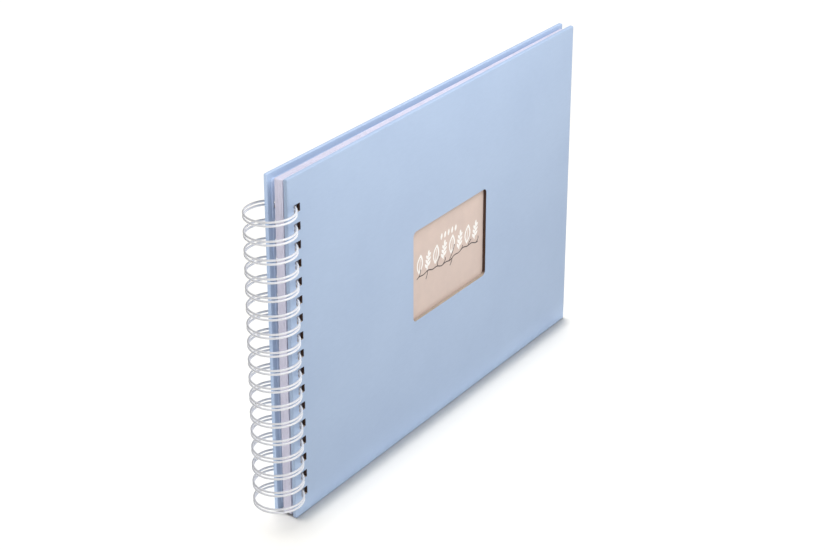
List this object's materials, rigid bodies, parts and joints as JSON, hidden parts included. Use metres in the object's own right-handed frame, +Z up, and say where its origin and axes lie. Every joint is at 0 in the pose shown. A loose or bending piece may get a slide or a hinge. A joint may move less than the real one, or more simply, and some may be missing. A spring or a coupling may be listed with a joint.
{
  "type": "scrapbook album",
  "caption": "Landscape hardcover scrapbook album on a white twin-loop wire, with loose white leaves and a framed window in its pale blue front cover.",
  "frame": {"origin": "under the middle of the closed album, loops included, on the surface that it stands on", "axes": "+X from the spine to the fore-edge, -Y the front cover's side, +Z up along the spine"},
  "size_m": [0.256, 0.0238, 0.17],
  "materials": {
    "cover_paper": "satin",
    "lining_paper": "matte",
    "grey_board": "matte",
    "printed_card": "matte",
    "leaf_paper": "matte",
    "coated_wire": "gloss"
  },
  "bodies": {
    "back_cover": {"back_lining": "lining_paper", "back_board": "grey_board", "back_wrap": "cover_paper"},
    "binding_wire": {"binding_wire": "coated_wire"},
    "leaf_25": {"leaf_25": "leaf_paper"},
    "leaf_24": {"leaf_24": "leaf_paper"},
    "leaf_23": {"leaf_23": "leaf_paper"},
    "leaf_22": {"leaf_22": "leaf_paper"},
    "leaf_21": {"leaf_21": "leaf_paper"},
    "leaf_20": {"leaf_20": "leaf_paper"},
    "leaf_19": {"leaf_19": "leaf_paper"},
    "leaf_18": {"leaf_18": "leaf_paper"},
    "leaf_17": {"leaf_17": "leaf_paper"},
    "leaf_16": {"leaf_16": "leaf_paper"},
    "leaf_15": {"leaf_15": "leaf_paper"},
    "leaf_14": {"leaf_14": "leaf_paper"},
    "leaf_13": {"leaf_13": "leaf_paper"},
    "leaf_12": {"leaf_12": "leaf_paper"},
    "leaf_11": {"leaf_11": "leaf_paper"},
    "leaf_10": {"leaf_10": "leaf_paper"},
    "leaf_09": {"leaf_09": "leaf_paper"},
    "leaf_08": {"leaf_08": "leaf_paper"},
    "leaf_07": {"leaf_07": "leaf_paper"},
    "leaf_06": {"leaf_06": "leaf_paper"},
    "leaf_05": {"leaf_05": "leaf_paper"},
    "leaf_04": {"leaf_04": "leaf_paper"},
    "leaf_03": {"leaf_03": "leaf_paper"},
    "leaf_02": {"leaf_02": "leaf_paper"},
    "leaf_01": {"leaf_01": "leaf_paper"},
    "front_cover": {"front_wrap": "cover_paper", "front_board": "grey_board", "window_card": "printed_card", "front_lining": "lining_paper"}
  },
  "joints": [
    {"name": "binding_wire_turn", "type": "hinge", "parent": "back_cover", "child": "binding_wire", "pos_m": [-0.1161, 0, 0], "axis": [0, 0, -1], "range_deg": [0, 180]},
    {"name": "leaf_25_turn", "type": "hinge", "parent": "binding_wire", "child": "leaf_25", "pos_m": [-0.1161, 0, 0], "axis": [0, 0, -1], "range_deg": [0, 180]},
    {"name": "leaf_24_turn", "type": "hinge", "parent": "leaf_25", "child": "leaf_24", "pos_m": [-0.1161, 0, 0], "axis": [0, 0, -1], "range_deg": [0, 180]},
    {"name": "leaf_23_turn", "type": "hinge", "parent": "leaf_24", "child": "leaf_23", "pos_m": [-0.1161, 0, 0], "axis": [0, 0, -1], "range_deg": [0, 180]},
    {"name": "leaf_22_turn", "type": "hinge", "parent": "leaf_23", "child": "leaf_22", "pos_m": [-0.1161, 0, 0], "axis": [0, 0, -1], "range_deg": [0, 180]},
    {"name": "leaf_21_turn", "type": "hinge", "parent": "leaf_22", "child": "leaf_21", "pos_m": [-0.1161, 0, 0], "axis": [0, 0, -1], "range_deg": [0, 180]},
    {"name": "leaf_20_turn", "type": "hinge", "parent": "leaf_21", "child": "leaf_20", "pos_m": [-0.1161, 0, 0], "axis": [0, 0, -1], "range_deg": [0, 180]},
    {"name": "leaf_19_turn", "type": "hinge", "parent": "leaf_20", "child": "leaf_19", "pos_m": [-0.1161, 0, 0], "axis": [0, 0, -1], "range_deg": [0, 180]},
    {"name": "leaf_18_turn", "type": "hinge", "parent": "leaf_19", "child": "leaf_18", "pos_m": [-0.1161, 0, 0], "axis": [0, 0, -1], "range_deg": [0, 180]},
    {"name": "leaf_17_turn", "type": "hinge", "parent": "leaf_18", "child": "leaf_17", "pos_m": [-0.1161, 0, 0], "axis": [0, 0, -1], "range_deg": [0, 180]},
    {"name": "leaf_16_turn", "type": "hinge", "parent": "leaf_17", "child": "leaf_16", "pos_m": [-0.1161, 0, 0], "axis": [0, 0, -1], "range_deg": [0, 180]},
    {"name": "leaf_15_turn", "type": "hinge", "parent": "leaf_16", "child": "leaf_15", "pos_m": [-0.1161, 0, 0], "axis": [0, 0, -1], "range_deg": [0, 180]},
    {"name": "leaf_14_turn", "type": "hinge", "parent": "leaf_15", "child": "leaf_14", "pos_m": [-0.1161, 0, 0], "axis": [0, 0, -1], "range_deg": [0, 180]},
    {"name": "leaf_13_turn", "type": "hinge", "parent": "leaf_14", "child": "leaf_13", "pos_m": [-0.1161, 0, 0], "axis": [0, 0, -1], "range_deg": [0, 180]},
    {"name": "leaf_12_turn", "type": "hinge", "parent": "leaf_13", "child": "leaf_12", "pos_m": [-0.1161, 0, 0], "axis": [0, 0, -1], "range_deg": [0, 180]},
    {"name": "leaf_11_turn", "type": "hinge", "parent": "leaf_12", "child": "leaf_11", "pos_m": [-0.1161, 0, 0], "axis": [0, 0, -1], "range_deg": [0, 180]},
    {"name": "leaf_10_turn", "type": "hinge", "parent": "leaf_11", "child": "leaf_10", "pos_m": [-0.1161, 0, 0], "axis": [0, 0, -1], "range_deg": [0, 180]},
    {"name": "leaf_09_turn", "type": "hinge", "parent": "leaf_10", "child": "leaf_09", "pos_m": [-0.1161, 0, 0], "axis": [0, 0, -1], "range_deg": [0, 180]},
    {"name": "leaf_08_turn", "type": "hinge", "parent": "leaf_09", "child": "leaf_08", "pos_m": [-0.1161, 0, 0], "axis": [0, 0, -1], "range_deg": [0, 180]},
    {"name": "leaf_07_turn", "type": "hinge", "parent": "leaf_08", "child": "leaf_07", "pos_m": [-0.1161, 0, 0], "axis": [0, 0, -1], "range_deg": [0, 180]},
    {"name": "leaf_06_turn", "type": "hinge", "parent": "leaf_07", "child": "leaf_06", "pos_m": [-0.1161, 0, 0], "axis": [0, 0, -1], "range_deg": [0, 180]},
    {"name": "leaf_05_turn", "type": "hinge", "parent": "leaf_06", "child": "leaf_05", "pos_m": [-0.1161, 0, 0], "axis": [0, 0, -1], "range_deg": [0, 180]},
    {"name": "leaf_04_turn", "type": "hinge", "parent": "leaf_05", "child": "leaf_04", "pos_m": [-0.1161, 0, 0], "axis": [0, 0, -1], "range_deg": [0, 180]},
    {"name": "leaf_03_turn", "type": "hinge", "parent": "leaf_04", "child": "leaf_03", "pos_m": [-0.1161, 0, 0], "axis": [0, 0, -1], "range_deg": [0, 180]},
    {"name": "leaf_02_turn", "type": "hinge", "parent": "leaf_03", "child": "leaf_02", "pos_m": [-0.1161, 0, 0], "axis": [0, 0, -1], "range_deg": [0, 180]},
    {"name": "leaf_01_turn", "type": "hinge", "parent": "leaf_02", "child": "leaf_01", "pos_m": [-0.1161, 0, 0], "axis": [0, 0, -1], "range_deg": [0, 180]},
    {"name": "front_cover_turn", "type": "hinge", "parent": "leaf_01", "child": "front_cover", "pos_m": [-0.1161, 0, 0], "axis": [0, 0, -1], "range_deg": [0, 180]}
  ]
}
